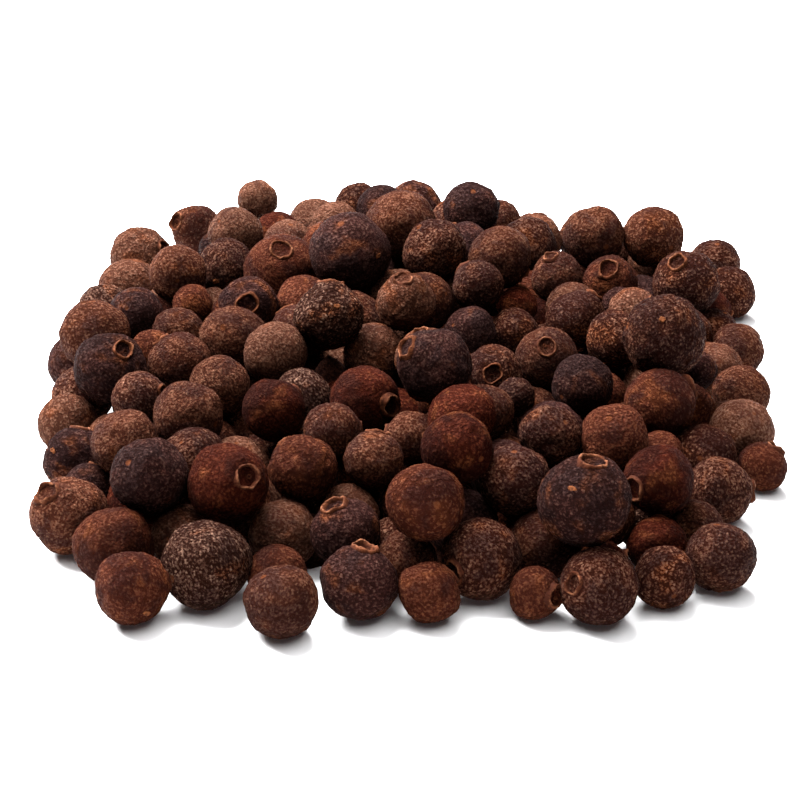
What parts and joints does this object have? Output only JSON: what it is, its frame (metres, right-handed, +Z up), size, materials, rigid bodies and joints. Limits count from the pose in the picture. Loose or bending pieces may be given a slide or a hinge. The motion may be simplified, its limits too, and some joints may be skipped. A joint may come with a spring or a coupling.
{
  "type": "heap of allspice berries",
  "caption": "Loose heap of dried whole allspice berries of uneven sizes, a few layers deep, lying on a flat surface.",
  "frame": {"origin": "on the surface that the heap lies on, under the middle of its outline", "axes": "+Z up, +Y from the front edge of the heap to the back, +X to the right"},
  "size_m": [0.089, 0.107, 0.0198],
  "materials": {
    "berry_umber": "dry, rough, finely pebbled dark brown skin",
    "berry_chestnut": "dry, rough, finely pebbled warm brown skin",
    "berry_rust": "dry, rough, finely pebbled red-brown skin",
    "berry_plum": "dry, rough, finely pebbled dark purple-brown skin",
    "berry_ash": "dry, rough skin with pale grey-brown grains",
    "berry_tan": "dry, rough, finely pebbled light brown skin",
    "calyx": "dry papery orange-brown rim",
    "heap_core": "matt, near black, seen only deep between the berries"
  },
  "bodies": {
    "root": {"berry_heap": "berry_umber"}
  },
  "joints": []
}
